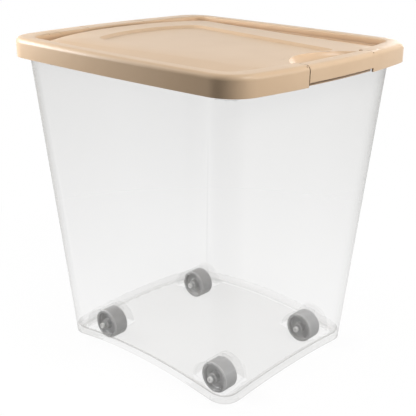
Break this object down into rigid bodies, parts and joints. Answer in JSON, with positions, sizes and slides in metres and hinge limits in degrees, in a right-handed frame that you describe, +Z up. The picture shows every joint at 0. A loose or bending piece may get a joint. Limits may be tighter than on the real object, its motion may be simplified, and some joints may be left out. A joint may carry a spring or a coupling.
{
  "type": "rolling pet food container",
  "caption": "Tapered see-through food storage tub on small fixed rollers, with a hinged, gasketed lid that a front latch flap closes.",
  "frame": {"origin": "on the floor under the middle of the tub", "axes": "+Z up, -Y towards the latch at the front, +X to the right seen from the front"},
  "size_m": [0.398, 0.463, 0.48],
  "materials": {
    "clear_plastic": "clear, slightly hazy moulded plastic",
    "lid_plastic": "beige, satin moulded plastic",
    "gasket": "pale soft sealing strip",
    "wheel_plastic": "mid grey moulded plastic",
    "steel": "drawn steel wire",
    "cap_plastic": "white moulded plastic"
  },
  "bodies": {
    "tub": {"tub": "clear_plastic", "hinge_bracket": "lid_plastic", "hinge_pin": "steel", "front_left_axle": "steel", "front_right_axle": "steel", "rear_left_axle": "steel", "rear_right_axle": "steel", "front_left_axle_left_cap": "cap_plastic", "front_left_axle_right_cap": "cap_plastic", "front_right_axle_left_cap": "cap_plastic", "front_right_axle_right_cap": "cap_plastic", "rear_left_axle_left_cap": "cap_plastic", "rear_left_axle_right_cap": "cap_plastic", "rear_right_axle_left_cap": "cap_plastic", "rear_right_axle_right_cap": "cap_plastic"},
    "lid": {"lid": "lid_plastic", "lid_gasket": "gasket", "latch_pin": "steel"},
    "latch": {"latch_flap": "lid_plastic"},
    "front_left_roller": {"front_left_wheel": "wheel_plastic"},
    "front_right_roller": {"front_right_wheel": "wheel_plastic"},
    "rear_left_roller": {"rear_left_wheel": "wheel_plastic"},
    "rear_right_roller": {"rear_right_wheel": "wheel_plastic"}
  },
  "joints": [
    {"name": "lid_hinge", "type": "hinge", "parent": "tub", "child": "lid", "pos_m": [0, 0.2275, 0.451], "axis": [-1, 0, 0], "range_deg": [0, 110]},
    {"name": "latch_hinge", "type": "hinge", "parent": "lid", "child": "latch", "pos_m": [0, -0.2125, 0.4768], "axis": [-1, 0, 0], "range_deg": [0, 100]},
    {"name": "front_left_spin", "type": "hinge", "parent": "tub", "child": "front_left_roller", "pos_m": [-0.101, -0.117, 0.0236], "axis": [1, 0, 0], "continuous": true},
    {"name": "front_right_spin", "type": "hinge", "parent": "tub", "child": "front_right_roller", "pos_m": [0.101, -0.117, 0.0236], "axis": [1, 0, 0], "continuous": true},
    {"name": "rear_left_spin", "type": "hinge", "parent": "tub", "child": "rear_left_roller", "pos_m": [-0.101, 0.117, 0.0236], "axis": [1, 0, 0], "continuous": true},
    {"name": "rear_right_spin", "type": "hinge", "parent": "tub", "child": "rear_right_roller", "pos_m": [0.101, 0.117, 0.0236], "axis": [1, 0, 0], "continuous": true}
  ]
}
